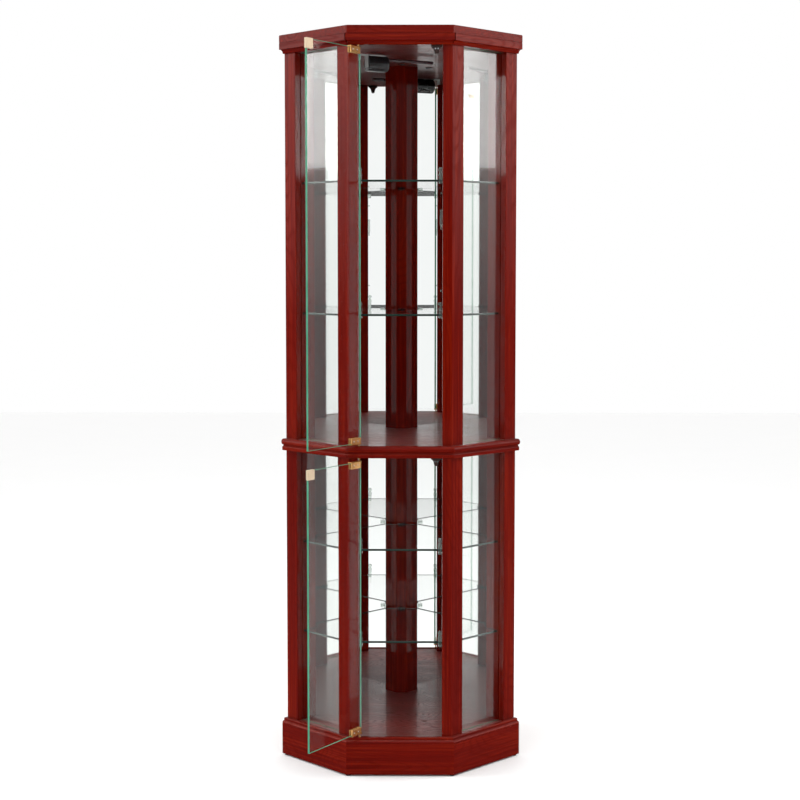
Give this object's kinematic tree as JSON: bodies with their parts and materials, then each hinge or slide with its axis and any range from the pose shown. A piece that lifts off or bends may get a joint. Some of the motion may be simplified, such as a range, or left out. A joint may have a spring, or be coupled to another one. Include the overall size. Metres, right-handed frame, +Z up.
{
  "type": "corner curio cabinet",
  "caption": "Corner display cabinet with glazed sides, mirrored walls, glass shelves and a pivoting glass door on each of its two stacked cases.",
  "frame": {"origin": "on the floor, under the middle of the footprint (the doors left out)", "axes": "+Z up, +X to the right seen from the front, +Y towards the back corner"},
  "size_m": [0.5982, 0.6275, 1.8],
  "materials": {
    "cherry_lacquer": "glossy red-brown lacquer over open grain",
    "panel_veneer": "glossy red-brown lacquer over open-grained veneer",
    "rail_wood": "stained softwood, not lacquered",
    "hardboard": "smooth brown hardboard",
    "clear_glass": "clear float glass with green edges",
    "mirror": "silvered",
    "brass": "polished",
    "bright_steel": "bright zinc",
    "brown_plastic": "satin",
    "clip_plastic": "translucent grey",
    "black_plastic": "satin black",
    "lamp_bracket_metal": "light grey paint",
    "lamp_tube_dark": "gloss dark brown"
  },
  "bodies": {
    "cabinet": {"base_front_board": "cherry_lacquer", "base_left_board": "cherry_lacquer", "base_right_board": "cherry_lacquer", "base_left_rail": "rail_wood", "base_right_rail": "rail_wood", "base_floor_panel": "panel_veneer", "foot_glides": "black_plastic", "lower_ceiling_panel": "panel_veneer", "mid_deck_panel": "panel_veneer", "mid_moulding_front": "cherry_lacquer", "mid_moulding_left": "cherry_lacquer", "mid_moulding_right": "cherry_lacquer", "ceiling_panel": "panel_veneer", "crown_front": "cherry_lacquer", "crown_left": "cherry_lacquer", "crown_right": "cherry_lacquer", "crown_left_rail": "rail_wood", "crown_right_rail": "rail_wood", "top_board": "cherry_lacquer", "lower_front_left_post": "cherry_lacquer", "lower_front_right_post": "cherry_lacquer", "lower_side_left_post": "cherry_lacquer", "lower_side_right_post": "cherry_lacquer", "lower_back_post": "cherry_lacquer", "upper_front_left_post": "cherry_lacquer", "upper_front_right_post": "cherry_lacquer", "upper_side_left_post": "cherry_lacquer", "upper_side_right_post": "cherry_lacquer", "upper_back_post": "cherry_lacquer", "lower_left_side_glass": "clear_glass", "lower_right_side_glass": "clear_glass", "upper_left_side_glass": "clear_glass", "upper_right_side_glass": "clear_glass", "lower_left_mirror": "mirror", "lower_right_mirror": "mirror", "upper_left_mirror": "mirror", "upper_right_mirror": "mirror", "lower_left_back_panel": "hardboard", "lower_right_back_panel": "hardboard", "upper_left_back_panel": "hardboard", "upper_right_back_panel": "hardboard", "shelf_1": "clear_glass", "shelf_2": "clear_glass", "shelf_3": "clear_glass", "shelf_4": "clear_glass", "lower_shelf_clips": "clip_plastic", "upper_shelf_clips": "clip_plastic", "hinge_bushings": "brass", "magnetic_catches": "brown_plastic", "catch_magnets": "bright_steel", "lamp_bracket": "lamp_bracket_metal", "lamp_socket": "black_plastic", "lamp_tube": "lamp_tube_dark", "cord_grommet": "black_plastic"},
    "lower_door": {"lower_door_glass": "clear_glass", "lower_door_hinges": "brass", "lower_hinge_screws": "bright_steel", "lower_strike_plate": "brass"},
    "upper_door": {"upper_door_glass": "clear_glass", "upper_door_hinges": "brass", "upper_hinge_screws": "bright_steel", "upper_strike_plate": "brass"}
  },
  "joints": [
    {"name": "lower_door_hinge", "type": "hinge", "parent": "cabinet", "child": "lower_door", "pos_m": [-0.0985, -0.2237, 0.4355], "axis": [0, 0, 1], "range_deg": [-51, 124]},
    {"name": "upper_door_hinge", "type": "hinge", "parent": "cabinet", "child": "upper_door", "pos_m": [-0.0985, -0.2237, 1.2795], "axis": [0, 0, 1], "range_deg": [-51, 124]}
  ]
}
